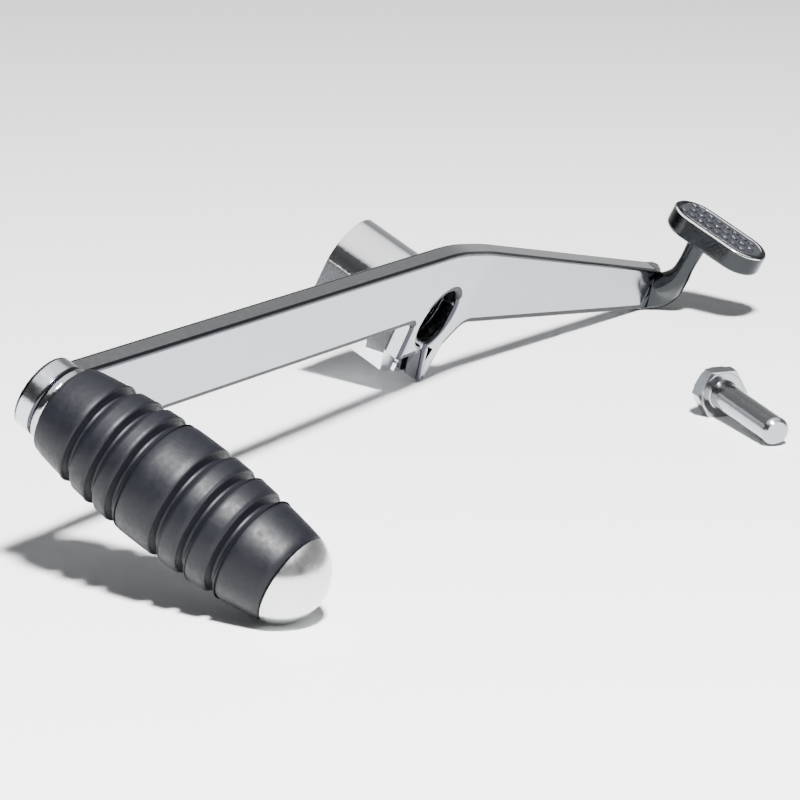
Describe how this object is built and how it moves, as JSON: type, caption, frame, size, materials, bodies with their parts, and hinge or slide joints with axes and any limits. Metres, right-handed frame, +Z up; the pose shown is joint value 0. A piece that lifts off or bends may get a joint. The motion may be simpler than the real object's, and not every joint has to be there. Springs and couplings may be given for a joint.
{
  "type": "gear shift lever",
  "caption": "Heel-and-toe gear shift lever: chromed flat bar on a serrated split clamp hub, with a ribbed rubber toe peg, a heel pad on a bent post and its pinch bolt.",
  "frame": {"origin": "on the shaft bore's axis, at the middle of the clamp hub's bore", "axes": "+X along the lever towards the heel end, -X towards the toe peg, +Z up from the table that the lever lies on; the shaft bore's axis lies in the YZ plane, 26.72 degrees above +Y, and the outboard side is -Y"},
  "size_m": [0.2633, 0.1114, 0.0407],
  "materials": {
    "bar_chrome": "bright chrome plate, polished",
    "hub_chrome": "chrome plate over turned steel",
    "bare_steel": "plated steel rod with a peened head",
    "black_rubber": "black moulded rubber, soft sheen",
    "dark_tread": "dark grey studded insert",
    "bolt_zinc": "bright zinc plate"
  },
  "bodies": {
    "lever": {"lever_bar": "bar_chrome", "hub_clamp": "hub_chrome", "hub_weld": "hub_chrome", "toe_collar": "bar_chrome", "toe_rod": "bare_steel", "toe_rubber": "black_rubber", "toe_cap": "bar_chrome", "heel_post": "bar_chrome", "heel_pad": "bar_chrome", "heel_tread": "dark_tread"},
    "bolt": {"pinch_bolt": "bolt_zinc"}
  },
  "joints": [
    {"name": "bolt_lift", "type": "slide", "parent": "lever", "child": "bolt", "axis": [0, 0, 1], "range_m": [0, 0.1]}
  ]
}
